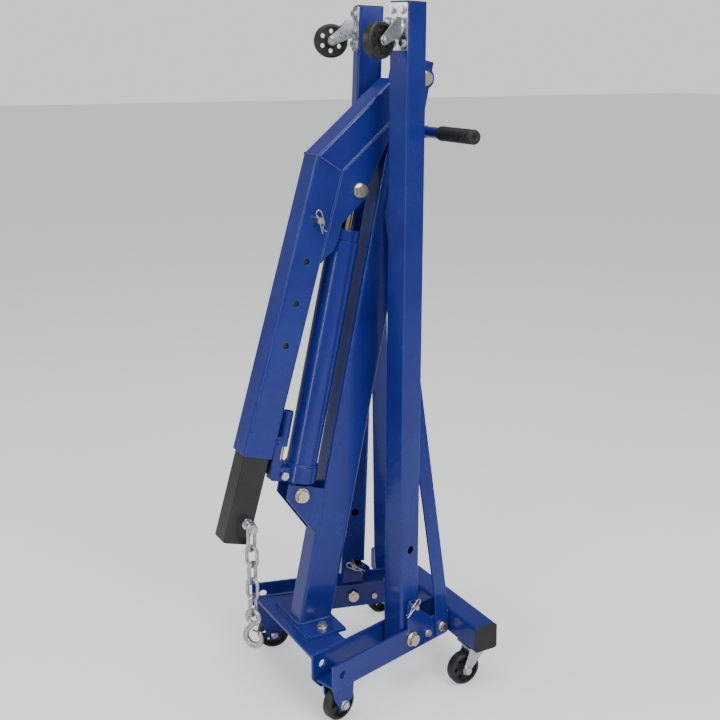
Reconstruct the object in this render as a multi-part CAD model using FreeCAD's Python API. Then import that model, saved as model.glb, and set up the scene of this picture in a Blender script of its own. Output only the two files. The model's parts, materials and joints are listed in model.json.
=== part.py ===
import FreeCAD, Part
import math
import os

# Folding engine hoist crane on wheels, stored upright: legs folded up, boom folded down.
# Frame: +Z up from the floor, -Y is the front (boom side), +X is the crane's left side.
# The origin lies on the floor under the middle of the crane's length.
# Working frame: Y is counted from the legs' pivot line; save() moves it to the origin.

V = FreeCAD.Vector

# ---- driving dimensions (mm) ----------------------------------------------------------
# legs
leg_side = 57.0            # square leg tube
leg_wall = 3.0
leg_corner = 6.0           # outer corner radius of the leg tube
leg_reach = 1420.0         # pivot to the leg's far end
leg_tail = 28.0            # tube beyond the pivot
leg_splay = 15.3           # each side member and leg opens outward
left_lean = 0.85           # stored legs lean back, each by its own slack at the lock pin
right_lean = 2.2
pivot_x = 126.3            # leg pivot from the centre plane
lock_rise = 82.0           # storage lock hole above the pivot
use_reach = 213.0          # working lock hole from the pivot
leg_hole_r = 9.0
cap_flange = 2.5           # visible thickness of a tube end plug
cap_skirt = 8.0            # depth of the plug inside its tube

# side plates
side_plate = 6.0
side_clear = 2.0           # leg to side plate, each side
plate_front = 240.0
plate_depth = 57.0
plate_skirt = 25.0         # inner plate's deeper part over the front wheel
lug_r = 13.0               # lug round the storage lock hole
stiffener_t = 53.6         # spacer bolt behind the leg

# floor contact and casters
wheel_r = 38.1
caster_head = 19.8         # caster height beyond twice the wheel's radius
wheel_width = 24.0
wheel_bore_r = 5.05
hub_r = 11.0
hub_width = 27.0
wheel_hole_r = 5.5
wheel_hole_ring = 22.0
wheel_hole_count = 6
axle_r = 5.0
caster_trail = 29.5
fork_plate = 3.0
fork_inner = 29.0          # width between the fork's cheeks
front_wheel_t = 194.0      # fixed wheel ahead of the leg pivot

# rear beam
beam_side = 60.0
beam_wall = 4.0
beam_corner = 7.0
beam_length = 490.0
beam_y = 156.0
rear_caster_x = 197.5

# front cross member and mast
cross_depth = 98.0
cross_plate = 6.0
cross_drop = 50.0
foot_plate = 7.0
foot_half = 94.0
foot_depth = 90.0
foot_bolt_x = 64.0
mast_width = 60.0
mast_depth = 80.0
mast_wall = 4.0
mast_corner = 7.0
mast_length = 1298.0
mast_lean = 12.1
mast_foot_y = -169.3

# boom
boom_wall = 4.0
boom_ear_clear = 1.0       # mast to boom ear, each side
boom_corner = 7.0
boom_tail_angle = 40.5     # tail section below the horizontal, folded down
boom_nose_angle = 74.0     # nose section below the horizontal, folded down
boom_nose_length = 656.0
boom_tail_length = 295.7   # pivot to elbow along the tail section
boom_pivot_under = 17.2    # pivot below the tail section's centre line
boom_pivot_drop = 36.9     # pivot below the mast's top
boom_pivot_inset = 20.6    # pivot ahead of the mast's rear face
boom_ear_r = 24.0
boom_tail_end = 60.0       # square tail end ahead of the pivot
boom_pivot_r = 8.0
extension_clear = 1.0      # extension to boom, each side
extension_wall = 4.0
extension_corner = 6.0
extension_out = 196.0      # extension showing beyond the boom when pushed in
extension_in = 640.0       # extension hidden in the boom
hole_first = 124.0         # first pin hole from the elbow
hole_pitch = 93.5
hole_count = 4
boom_pin_r = 7.0
gusset_tail = 200.0        # gusset along the tail section from the elbow
gusset_nose = 214.0        # and along the nose section

# hydraulic ram
ram_low_rise = 297.7       # lower pin above the mast's foot, along the mast
ram_low_ahead = 55.2       # and ahead of the mast's front face
ram_top_along = 39.8       # upper pin beyond the elbow, along the nose section
ram_top_behind = 86.3      # and behind the nose section's centre line
ram_tube_r = 35.0
ram_tube_wall = 3.0
ram_block_low = 27.0       # distances along the ram from its lower pin
ram_block_high = 66.0
ram_gland_length = 26.0
rod_shown = 89.5           # upper pin above the gland nut
ram_lug_half = 20.0
rod_r = 14.0
rod_eye_r = 17.0
rod_eye_half = 20.0
piston_r = 18.95
piston_length = 26.0
pressure_bore_r = 19.0
pressure_wall = 4.0
ram_pin_r = 8.0
bracket_plate = 6.0
pump_offset = 57.0         # pump axis ahead of the ram axis
pump_r = 7.0
pump_pin_rise = 112.0
socket_bore_r = 10.0
socket_wall = 3.0
socket_length = 62.0
lever_arm = 16.0

# push handle
handle_r = 12.5
handle_half = 222.0
handle_rise = 1146.5       # above the mast's foot, along the mast
grip_r = 16.5
grip_length = 132.0

# braces
brace_width = 38.0
brace_plate = 5.0
brace_bolt_t = 97.0        # lower bolt behind the leg pivot
brace_rise = 1005.3        # top bolt above the mast's foot, along the mast

# chain, hook and their bolt
link_wire = 8.0
link_pitch = 38.5
link_width = 34.0
first_link_length = 69.0
hook_bolt_r = 5.0
hook_bolt_rise = 47.0      # above the extension's end
hook_bolt_shift = 12.0     # behind the extension's centre line
chain_x = 54.0
chain_turn = 35.0          # the chain hangs turned about its own length
hook_wire = 11.0
hook_throat_r = 15.0
hook_eye_r = 9.5           # inside radius of the hook's eye

# fits
fit = 0.05                 # radial running clearance of pins and axles
gap = 0.4                  # clearance between links and around loose fits
lock_pin_r = 5.5
lock_slot_half = 7.0       # half width of the slot that lets a leg leave its lock pin
lock_pin_tip = 20.0        # pin beyond the plate or leg that it comes out of
bolt_r = 6.0
small_bolt_r = 4.0
clip_wire_r = 1.25
clip_hole_r = 1.35
clip_tail = 27.0           # clip's legs beyond the pin's centre
clip_inset = 7.0           # clip hole from the pin's tip

# ---- worked-out places ----------------------------------------------------------------
mount_height = 2 * wheel_r + caster_head
plate_low = mount_height - 1.0
plate_high = plate_low + plate_depth
pivot_z = mount_height + leg_side / 2
beam_z = mount_height + beam_side / 2
plate_in = leg_side / 2 + side_clear
plate_out = plate_in + side_plate
splay = math.radians(leg_splay)
beam_front = beam_y - beam_side / 2
cross_top = plate_high - 2.0
foot_top = cross_top + foot_plate


def direction(angle_deg):
    """Unit vector in the Y-Z plane, angle below the horizontal towards the front."""
    a = math.radians(angle_deg)
    return V(0, -math.cos(a), -math.sin(a))


mast_up = V(0, math.sin(math.radians(mast_lean)), math.cos(math.radians(mast_lean)))
mast_back = V(0, mast_up.z, -mast_up.y)
mast_foot = V(0, mast_foot_y, foot_top)
boom_side = mast_width + 2 * (boom_ear_clear + boom_wall)
extension_side = boom_side - 2 * (boom_wall + extension_clear)
boom_pivot = (mast_foot + mast_up * (mast_length - boom_pivot_drop)
              + mast_back * (mast_depth / 2 - boom_pivot_inset))
nose_dir = direction(boom_nose_angle)
nose_back = V(0, -nose_dir.z, nose_dir.y)
tail_dir = direction(boom_tail_angle)
tail_under = V(0, -tail_dir.z, tail_dir.y)
elbow = boom_pivot + tail_dir * boom_tail_length - tail_under * boom_pivot_under
boom_end = elbow + nose_dir * boom_nose_length
extension_end = boom_end + nose_dir * extension_out
ram_low = mast_foot + mast_up * ram_low_rise - mast_back * (mast_depth / 2 + ram_low_ahead)
ram_top = elbow + nose_dir * ram_top_along + nose_back * ram_top_behind
ram_dir = (ram_top - ram_low).normalize()
ram_front = V(0, -ram_dir.z, ram_dir.y)
ram_length = (ram_top - ram_low).Length
ram_gland_high = ram_length - rod_shown
ram_tube_high = ram_gland_high - ram_gland_length
brace_top = mast_foot + mast_up * brace_rise
hook_bolt = extension_end - nose_dir * hook_bolt_rise + nose_back * hook_bolt_shift
front_reach = (extension_end - nose_back * (extension_side / 2)).y
rear_reach = beam_y + beam_side / 2
middle_y = (front_reach + rear_reach) / 2
saved = {}


# ---- shape helpers --------------------------------------------------------------------
def save(node, *solids):
    """Write one node as STEP, moved from the working frame to the crane's origin."""
    shape = solids[0] if len(solids) == 1 else Part.makeCompound(list(solids))
    shape = shape.copy()
    shape.translate(V(0, -middle_y, 0))
    saved[node] = shape
    shape.exportStep("parts/%s.step" % node)


def frame(origin, x_axis, z_axis):
    """Placement whose local X and Z axes point along the given directions."""
    y_axis = z_axis.cross(x_axis)
    return FreeCAD.Placement(origin, FreeCAD.Rotation(x_axis, y_axis, z_axis, "ZXY"))


def placed(shape, placement):
    moved = shape.copy()
    moved.Placement = placement.multiply(moved.Placement)
    return moved


def rounded_bar(width, depth, length, radius):
    """Solid rectangular bar along +Z with rounded long edges."""
    bar = Part.makeBox(width, depth, length, V(-width / 2, -depth / 2, 0))
    edges = [e for e in bar.Edges if abs(e.tangentAt(e.FirstParameter).z) > 0.9]
    return bar.makeFillet(radius, edges)


def box_tube(width, depth, wall, radius, length):
    inner_r = max(radius - wall, 1.0)
    inner = rounded_bar(width - 2 * wall, depth - 2 * wall, length + 2, inner_r)
    inner.translate(V(0, 0, -1))
    return rounded_bar(width, depth, length, radius).cut(inner)


def rod(radius, start, axis, length):
    return Part.makeCylinder(radius, length, start, axis)


def ring(outer_r, inner_r, start, axis, length):
    return rod(outer_r, start, axis, length).cut(rod(inner_r, start - axis, axis, length + 2))


def slab(points, low, high):
    """Flat plate in the Y-Z plane between two X values; points are (y, z) pairs."""
    corners = [V(low, y, z) for y, z in points]
    face = Part.Face(Part.makePolygon(corners + corners[:1]))
    return face.extrude(V(high - low, 0, 0))


def hexagon(across_flats, start, axis, height):
    r = across_flats / math.sqrt(3)
    side = V(0, 0, 1).cross(axis)
    if side.Length < 0.1:
        side = V(1, 0, 0)
    side.normalize()
    up = axis.cross(side)
    ring_points = []
    for i in range(6):
        a = math.radians(60 * i + 30)
        ring_points.append(start + side * (r * math.cos(a)) + up * (r * math.sin(a)))
    face = Part.Face(Part.makePolygon(ring_points + ring_points[:1]))
    blank = face.extrude(axis * height)
    crown = Part.makeCone(r * 1.3, r * 0.86, height, start, axis)
    return blank.common(crown)


def bolt(radius, start, axis, grip):
    """Hex bolt with a washer under its head, and its nut: head at start, nut at the end."""
    flats = radius * 3.2
    head = radius * 1.3
    washer = radius * 0.35
    unit = axis / axis.Length
    body = hexagon(flats, start - unit * washer, unit * -1, head)
    body = body.fuse(rod(radius * 2.1, start - unit * washer, unit, washer))
    body = body.fuse(rod(radius, start - unit * washer, unit, grip + washer + head + 2.0))
    nut = hexagon(flats, start + unit * grip, unit, head)
    nut = nut.cut(rod(radius, start + unit * (grip - 1), unit, head + 2))
    return [body.removeSplitter(), nut]


def side_frame(side):
    """Frame of one side member: local X outward, local Y to the rear, Z up."""
    placement = FreeCAD.Placement(V(pivot_x, 0, 0), FreeCAD.Rotation(V(0, 0, 1), leg_splay))
    if side > 0:
        return lambda shape: placed(shape, placement)
    return lambda shape: placed(shape, placement).mirror(V(0, 0, 0), V(1, 0, 0))


def spring_clip(centre, through, along, pin_r):
    """Bent wire clip: a straight leg through the pin, a round loop, and a leg outside the pin."""
    swing = pin_r + clip_wire_r + gap + 0.3
    flare = 12.0

    def spot(u, v):
        return centre + along * u + through * v

    def flared(angle):
        a = math.radians(angle)
        return spot(-clip_tail / 2 - flare * math.sin(a), swing + flare * (1 - math.cos(a)))

    turn_at = swing + 1
    start = spot(-clip_tail, 0)
    path = Part.Wire([
        Part.makeLine(start, spot(turn_at, 0)),
        Part.Arc(spot(turn_at, 0), spot(turn_at + swing / 2, swing / 2), spot(turn_at, swing)).toShape(),
        Part.makeLine(spot(turn_at, swing), flared(0)),
        Part.Arc(flared(0), flared(20), flared(40)).toShape()])
    profile = Part.Wire(Part.makeCircle(clip_wire_r, start, along))
    return path.makePipeShell([profile], True, False)


# ---- wheels and casters ---------------------------------------------------------------
def wheel():
    """Wheel about the X axis: rounded tread, thinner web with round holes, and a hub."""
    half = wheel_width / 2
    tread = rod(wheel_r, V(-half, 0, 0), V(1, 0, 0), wheel_width)
    rims = [e for e in tread.Edges if abs(e.Length - 2 * math.pi * wheel_r) < 0.5]
    tread = tread.makeFillet(5.0, rims)
    for face in (-half, half - 6.0):
        dish = rod(wheel_r - 8.0, V(face, 0, 0), V(1, 0, 0), 6.0)
        tread = tread.cut(dish)
    body = tread.fuse(rod(hub_r, V(-hub_width / 2, 0, 0), V(1, 0, 0), hub_width))
    for i in range(wheel_hole_count):
        a = 2 * math.pi * i / wheel_hole_count
        spot = V(-half, wheel_hole_ring * math.cos(a), wheel_hole_ring * math.sin(a))
        body = body.cut(rod(wheel_hole_r, spot, V(1, 0, 0), wheel_width))
    return body.cut(rod(wheel_bore_r, V(-half * 2, 0, 0), V(1, 0, 0), wheel_width * 2))


def axle(half_grip):
    """Axle bolt along X, centred at the origin."""
    return bolt(axle_r, V(half_grip, 0, 0), V(-1, 0, 0), 2 * half_grip)


race_drop = 9.0            # swivel race below the mounting plate
plate_thick = 3.0
kingpin_r = 5.0
race_r = 19.0
axle_drop = mount_height - wheel_r


def caster_plate(width, depth):
    """Mounting plate with the upper half of the swivel race; top face at z = 0."""
    plate = rounded_bar(width, depth, plate_thick, 4.0)
    plate.translate(V(0, 0, -plate_thick))
    race = Part.makeCone(race_r - 4, race_r, race_drop - plate_thick, V(0, 0, -race_drop))
    body = plate.fuse(race)
    return body.cut(rod(kingpin_r + fit, V(0, 0, 1), V(0, 0, -1), race_drop + 2))


def caster_fork():
    """Pressed fork with the kingpin rivet; the wheel trails towards local -Y."""
    low_r = 10.0
    top = -race_drop - gap
    cheek_x = fork_inner / 2
    outline = [(-race_r - 1, top), (race_r, top), (race_r, top - 12)]
    axle_at = V(0, -caster_trail, -axle_drop)
    outline += [(axle_at.y + low_r * 0.55, axle_at.z - low_r * 0.83)]
    outline += [(axle_at.y - low_r, axle_at.z)]
    bridge = rounded_bar(2 * cheek_x + 2 * fork_plate, 2 * race_r, fork_plate, 3.0)
    bridge.translate(V(0, -0.5, top - fork_plate))
    fork = bridge
    for low in (-cheek_x - fork_plate, cheek_x):
        cheek = slab(outline, low, low + fork_plate)
        tip = rod(low_r, V(low, axle_at.y, axle_at.z), V(1, 0, 0), fork_plate)
        fork = fork.fuse(cheek).fuse(tip)
    lower_race = Part.makeCone(race_r - 3, race_r - 6, 5.0, V(0, 0, top - fork_plate), V(0, 0, -1))
    fork = fork.fuse(lower_race)
    fork = fork.cut(rod(axle_r, V(-40, axle_at.y, axle_at.z), V(1, 0, 0), 80))
    pin = rod(kingpin_r, V(0, 0, -0.4), V(0, 0, -1), race_drop + fork_plate + 5.4)
    fork = fork.fuse(pin)
    bolts = axle(cheek_x + fork_plate)
    shift = FreeCAD.Placement(axle_at, FreeCAD.Rotation())
    return [fork.removeSplitter()] + [placed(b, shift) for b in bolts]


caster_wheel_at = FreeCAD.Placement(V(0, -caster_trail, -axle_drop), FreeCAD.Rotation())


# ---- base frame -----------------------------------------------------------------------
def tube_plug(width, depth, wall, corner):
    """Black end plug: flange on the tube's end at z = 0 and a skirt inside the tube."""
    flange = rounded_bar(width, depth, cap_flange, corner)
    skirt = rounded_bar(width - 2 * wall - 1, depth - 2 * wall - 1, cap_skirt, corner - wall + 0.5)
    skirt.translate(V(0, 0, -cap_skirt))
    return flange.fuse(skirt)


def rear_beam():
    tube = box_tube(beam_side, beam_side, beam_wall, beam_corner, beam_length)
    turn = frame(V(-beam_length / 2, beam_y, beam_z), V(0, 0, 1), V(1, 0, 0))
    tube = placed(tube, turn)
    for x in (-rear_caster_x, rear_caster_x):
        spot = V(x, beam_y, beam_z - beam_side / 2 - 1)
        tube = tube.cut(rod(kingpin_r + 1.0, spot, V(0, 0, 1), beam_wall + 2))
    save("rear_crossbeam", tube)


def side_plates(side, name):
    """Inner and outer plates of a side member; the outer one has the lock pin's lug."""
    rear_cut = Part.makeBox(900, 400, 600, V(-450, beam_front, 0))
    rear = 150.0
    solids = []
    outer = slab([(-plate_front, plate_low), (rear, plate_low), (rear, plate_high),
                  (-plate_front, plate_high)], plate_in, plate_out)
    lug_z = pivot_z + lock_rise
    lug = slab([(-lug_r, plate_high - 10), (62, plate_high - 10), (58, plate_high + 9),
                (lug_r + 6, lug_z - 14), (lug_r, lug_z), (-lug_r, lug_z)], plate_in, plate_out)
    lug = lug.fuse(rod(lug_r, V(plate_in, 0, lug_z), V(1, 0, 0), side_plate))
    outer = outer.fuse(lug).removeSplitter()
    outer = outer.cut(rod(lock_pin_r + fit, V(0, 0, lug_z), V(1, 0, 0), 99))
    outer = outer.cut(rod(bolt_r, V(plate_in - 1, brace_bolt_t, pivot_z - 4), V(1, 0, 0), side_plate + 2))
    inner_low = plate_low - plate_skirt
    inner = slab([(-plate_front, plate_high), (-plate_front, plate_low), (-218, inner_low),
                  (-172, inner_low), (-158, plate_low), (rear + 20, plate_low),
                  (rear + 20, plate_high)], -plate_out, -plate_in)
    for plate in (outer, inner):
        for y, z, r in ((0, pivot_z, bolt_r + 2 + fit), (-use_reach, pivot_z, leg_hole_r),
                        (stiffener_t, pivot_z - 7, small_bolt_r)):
            plate = plate.cut(rod(r, V(-99, y, z), V(1, 0, 0), 198))
        solids.append(side_frame(side)(plate).cut(rear_cut))
    spacer = ring(9.0, small_bolt_r, V(-plate_in, stiffener_t, pivot_z - 7), V(1, 0, 0), 2 * plate_in)
    solids.append(side_frame(side)(spacer))
    save(name, *solids)


def wheel_brackets():
    """Welded inverted-U brackets that carry the two fixed front wheels."""
    solids = []
    cheek_x = hub_width / 2 + 1.0
    top = mount_height - 1.0
    for side in (1, -1):
        y = -front_wheel_t
        web = Part.makeBox(2 * plate_in, 74, 5, V(-plate_in, y - 37, top - 5))
        bracket = web
        for low in (-cheek_x - 5, cheek_x):
            cheek = slab([(y - 30, top), (y + 30, top), (y + 26, wheel_r + 14), (y + 15, wheel_r),
                          (y - 15, wheel_r), (y - 26, wheel_r + 20)], low, low + 5)
            tip = rod(15.0, V(low, y, wheel_r), V(1, 0, 0), 5)
            bracket = bracket.fuse(cheek).fuse(tip)
        bracket = bracket.cut(rod(axle_r, V(-50, y, wheel_r), V(1, 0, 0), 100)).removeSplitter()
        solids.append(side_frame(side)(bracket))
    save("front_wheel_brackets", *solids)


def inner_face_x(y):
    """X of the left inner plate's inner face at a given Y."""
    t = (-y - plate_out * math.sin(splay)) / math.cos(splay)
    return pivot_x + t * math.sin(splay) - plate_out * math.cos(splay)


cross_front = -plate_front * math.cos(splay) - plate_out * math.sin(splay)
cross_rear = cross_front + cross_depth


def cross_slab(front, rear, low, high):
    a = inner_face_x(front)
    b = inner_face_x(rear)
    corners = [V(-a, front, low), V(a, front, low), V(b, rear, low), V(-b, rear, low)]
    face = Part.Face(Part.makePolygon(corners + corners[:1]))
    return face.extrude(V(0, 0, high - low))


def front_cross_member():
    """Angle-section member between the side members; the mast stands on it."""
    top = cross_slab(cross_front, cross_rear, cross_top - cross_plate, cross_top)
    flange = cross_slab(cross_rear - cross_plate, cross_rear, cross_top - cross_drop, cross_top)
    member = top.fuse(flange).removeSplitter()
    for x in (-foot_bolt_x, foot_bolt_x):
        spot = V(x, mast_foot_y, cross_top - cross_plate - 1)
        member = member.cut(rod(bolt_r, spot, V(0, 0, 1), cross_plate + 2))
    save("front_crossbeam", member)


def mast_block(width, depth, length):
    bar = rounded_bar(width, depth, length, mast_corner)
    return placed(bar, frame(mast_foot - mast_up * 30, V(1, 0, 0), mast_up))


def mast_parts():
    plate = Part.makeBox(2 * foot_half, foot_depth, foot_plate,
                         V(-foot_half, mast_foot_y - foot_depth / 2, cross_top))
    for x in (-foot_bolt_x, foot_bolt_x):
        plate = plate.cut(rod(bolt_r, V(x, mast_foot_y, cross_top - 1), V(0, 0, 1), foot_plate + 2))
    save("mast_foot_plate", plate)

    tube = box_tube(mast_width, mast_depth, mast_wall, mast_corner, mast_length + 30)
    tube = placed(tube, frame(mast_foot - mast_up * 30, V(1, 0, 0), mast_up))
    tube = tube.cut(Part.makeBox(400, 400, 100, V(-200, mast_foot_y - 200, foot_top - 100)))
    tube = tube.cut(rod(boom_pivot_r + fit, V(-60, boom_pivot.y, boom_pivot.z), V(1, 0, 0), 120))
    sleeve = ring(boom_pivot_r + 4, boom_pivot_r + fit, V(-mast_width / 2 + mast_wall,
                  boom_pivot.y, boom_pivot.z), V(1, 0, 0), mast_width - 2 * mast_wall)
    tube = tube.cut(rod(small_bolt_r + 1, V(-60, brace_top.y, brace_top.z), V(1, 0, 0), 120))
    save("mast_tube", tube, sleeve)
    return tube


def ram_brackets(mast):
    """Two plates welded to the mast's front for the ram's lower pin."""
    face = ram_low + mast_back * ram_low_ahead
    sunk = mast_back * 8.0
    low_end = face - mast_up * 93.0
    high_end = face + mast_up * 16.0
    front = ram_low - mast_back * 34.0
    corners = [front + mast_up * 23.0, front - mast_up * 10.0, low_end, low_end + sunk,
               high_end + sunk, high_end]
    points = [(c.y, c.z) for c in corners]
    solids = []
    for low in (mast_width / 2 - bracket_plate, -mast_width / 2):
        plate = slab(points, low, low + bracket_plate).cut(mast)
        plate = plate.cut(rod(ram_pin_r, V(-60, ram_low.y, ram_low.z), V(1, 0, 0), 120))
        solids.append(plate)
    save("ram_bracket_plates", *solids)


def brace(side, name):
    """Flat bar from the rear of a side member up to the mast, bent at both ends."""
    s = plate_out
    half = brace_width / 2

    def low_station(t_back, z):
        c = V(pivot_x, 0, z) + V(-math.sin(splay), math.cos(splay), 0) * t_back
        n = V(math.cos(splay), math.sin(splay), 0)
        across = V(-math.sin(splay), math.cos(splay), 0)
        return c + n * (s + brace_plate / 2), n, across

    def high_station(above_bolt):
        c = brace_top + mast_up * above_bolt
        return V(mast_width / 2 + brace_plate / 2, c.y, c.z), V(1, 0, 0), V(0, 1, 0)

    stations = [low_station(brace_bolt_t, plate_low + 4), low_station(brace_bolt_t - 6, plate_high + 55),
                high_station(-50.0), high_station(24.0)]
    wires = []
    for c, n, across in stations:
        corners = [c + n * (brace_plate / 2 * i) + across * (half * j)
                   for i, j in ((1, 1), (1, -1), (-1, -1), (-1, 1))]
        wires.append(Part.makePolygon(corners + corners[:1]))
    bar = Part.makeLoft(wires, True, True)
    low_hole = V(pivot_x, 0, pivot_z - 4) + V(-math.sin(splay), math.cos(splay), 0) * brace_bolt_t
    outward = V(math.cos(splay), math.sin(splay), 0)
    bar = bar.cut(rod(bolt_r, low_hole, outward, 90))
    bar = bar.cut(rod(small_bolt_r + 1, V(0, brace_top.y, brace_top.z), V(1, 0, 0), 90))
    if side < 0:
        bar = bar.mirror(V(0, 0, 0), V(1, 0, 0))
    save(name, bar)


def push_handle():
    axis_point = mast_foot + mast_up * handle_rise + mast_back * (mast_depth / 2 + handle_r - 1.0)
    bar = ring(handle_r, handle_r - 2.5, V(-handle_half, axis_point.y, axis_point.z),
               V(1, 0, 0), 2 * handle_half)
    solid_mast = mast_block(mast_width, mast_depth, mast_length + 30)
    save("push_handle_bar", bar.cut(solid_mast))
    grips = []
    for side in (1, -1):
        outer_end = V(side * (handle_half + 4), axis_point.y, axis_point.z)
        inward = V(-side, 0, 0)
        grip = rod(grip_r, outer_end, inward, grip_length)
        ends = [e for e in grip.Edges if abs(e.Length - 2 * math.pi * grip_r) < 0.5]
        grip = grip.makeFillet(2.5, ends)
        grip = grip.cut(rod(handle_r, outer_end + inward * 4, inward, grip_length))
        grip = grip.cut(rod(3.0, outer_end, inward, 5))
        grips.append(grip)
    save("handle_grips", *grips)


def end_caps():
    solids = []
    plug = tube_plug(beam_side, beam_side, beam_wall, beam_corner)
    for side in (1, -1):
        turn = frame(V(side * beam_length / 2, beam_y, beam_z), V(0, 0, 1), V(side, 0, 0))
        solids.append(placed(plug, turn))
    top = tube_plug(mast_width, mast_depth, mast_wall, mast_corner)
    solids.append(placed(top, frame(mast_foot + mast_up * mast_length, V(1, 0, 0), mast_up)))
    save("end_caps", *solids)


def pivot_bolts():
    """The four big pivot bolts that stay with the frame: boom, ram foot and both legs."""
    solids = bolt(boom_pivot_r, V(boom_side / 2 + gap, boom_pivot.y, boom_pivot.z), V(-1, 0, 0),
                  boom_side + 2 * gap)
    solids += bolt(ram_pin_r, V(mast_width / 2, ram_low.y, ram_low.z), V(-1, 0, 0), mast_width)
    for side in (1, -1):
        pair = bolt(bolt_r + 2, V(plate_out, 0, pivot_z), V(-1, 0, 0), 2 * plate_out)
        solids += [side_frame(side)(b) for b in pair]
    save("pivot_bolts", *solids)


def base_bolts():
    solids = []
    for x in (-foot_bolt_x, foot_bolt_x):
        solids += bolt(bolt_r, V(x, mast_foot_y, foot_top), V(0, 0, -1), foot_plate + cross_plate)
    for side in (1, -1):
        pair = bolt(small_bolt_r, V(plate_out, stiffener_t, pivot_z - 7), V(-1, 0, 0), 2 * plate_out)
        pair += bolt(bolt_r, V(plate_out + brace_plate, brace_bolt_t, pivot_z - 4), V(-1, 0, 0),
                     side_plate + brace_plate)
        solids += [side_frame(side)(b) for b in pair]
    half = mast_width / 2 + brace_plate
    solids += bolt(small_bolt_r + 1, V(half, brace_top.y, brace_top.z), V(-1, 0, 0), 2 * half)
    save("base_bolts", *solids)


def front_wheels():
    axles = []
    half = hub_width / 2 + 1.0 + 5.0
    for side, word in ((1, "left"), (-1, "right")):
        at = FreeCAD.Placement(V(0, -front_wheel_t, wheel_r), FreeCAD.Rotation())
        save("%s_front_wheel" % word, side_frame(side)(placed(wheel(), at)))
        axles += [side_frame(side)(placed(b, at)) for b in axle(half)]
    save("front_axle_bolts", *axles)


def rear_casters():
    plates = []
    for x, word in ((rear_caster_x, "left"), (-rear_caster_x, "right")):
        at = FreeCAD.Placement(V(x, beam_y, mount_height), FreeCAD.Rotation())
        plates.append(placed(caster_plate(beam_side - 2, beam_side - 2), at))
        save("%s_rear_fork" % word, *[placed(s, at) for s in caster_fork()])
        save("%s_rear_wheel" % word, placed(placed(wheel(), caster_wheel_at), at))
    save("rear_caster_plates", *plates)


# ---- legs -----------------------------------------------------------------------------
leg_plate_height = 98.0
leg_plate_drop = 50.0      # caster centre below the leg's end
caster_on_leg = frame(V(0, -leg_side / 2, pivot_z + leg_reach - leg_plate_drop),
                      V(-1, 0, 0), V(0, 1, 0))


def leaned(shape, lean):
    """Turn a leg piece back about the pivot by its stored lean."""
    moved = shape.copy()
    moved.rotate(V(0, 0, pivot_z), V(1, 0, 0), -lean)
    return moved


def leg(side, word, lean):
    place = lambda shape: side_frame(side)(leaned(shape, lean))
    tube = box_tube(leg_side, leg_side, leg_wall, leg_corner, leg_reach + leg_tail)
    tube.translate(V(0, 0, pivot_z - leg_tail))
    for z, r in ((pivot_z, bolt_r + 2 + fit), (pivot_z + lock_rise, leg_hole_r),
                 (pivot_z + use_reach, leg_hole_r)):
        tube = tube.cut(rod(r, V(-60, 0, z), V(1, 0, 0), 120))
    bush = ring(bolt_r + 6, bolt_r + 2 + fit, V(-leg_side / 2 + leg_wall, 0, pivot_z),
                V(1, 0, 0), leg_side - 2 * leg_wall)
    spots = [(x, z) for x in (-15, 15) for z in (-34, 34)]
    slot = ring(lock_rise + lock_slot_half, lock_rise - lock_slot_half, V(-60, 0, pivot_z),
                V(1, 0, 0), 120)
    tube = tube.cut(slot.common(Part.makeBox(200, 60, 99, V(-100, 0, pivot_z + lock_rise / 2))))
    centre_z = pivot_z + leg_reach - leg_plate_drop
    fixings = []
    for x, dz in spots:
        start = V(x, -leg_side / 2 - plate_thick, centre_z + dz)
        tube = tube.cut(rod(small_bolt_r, start, V(0, 1, 0), 12))
        fixings += bolt(small_bolt_r, start, V(0, 1, 0), plate_thick + leg_wall)
    save("%s_leg" % word, place(tube), place(bush))

    plug = tube_plug(leg_side, leg_side, leg_wall, leg_corner)
    plug.translate(V(0, 0, pivot_z + leg_reach))
    save("%s_leg_cap" % word, place(plug))

    plate = placed(caster_plate(leg_side - 1, leg_plate_height), caster_on_leg)
    for x, dz in spots:
        start = V(x, -leg_side / 2 - plate_thick - 1, centre_z + dz)
        plate = plate.cut(rod(small_bolt_r, start, V(0, 1, 0), 12))
    save("%s_leg_caster_plate" % word, place(plate), *[place(f) for f in fixings])
    save("%s_leg_fork" % word, *[place(placed(s, caster_on_leg)) for s in caster_fork()])
    at = caster_on_leg.multiply(caster_wheel_at)
    save("%s_leg_wheel" % word, place(placed(wheel(), at)))


# ---- lock pins ------------------------------------------------------------------------
def leg_lock_pin(length):
    """Plain pin along +X from the origin: flat head, rounded tip, cross hole for its clip."""
    pin = rod(lock_pin_r, V(0, 0, 0), V(1, 0, 0), length)
    rims = [e for e in pin.Edges if abs(e.Length - 2 * math.pi * lock_pin_r) < 0.5
            and e.CenterOfMass.x > length / 2]
    pin = pin.makeFillet(1.5, rims).fuse(rod(lock_pin_r + 5, V(-4, 0, 0), V(1, 0, 0), 4))
    hole = rod(clip_hole_r, V(length - clip_inset, 0, 0) - clip_lie * 20, clip_lie, 40)
    return pin.cut(hole)


clip_lie = V(0, 0.85, 0.53).normalize()    # way that the clips of the leg pins point
clip_side = V(0, 0.53, -0.85).normalize()


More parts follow.
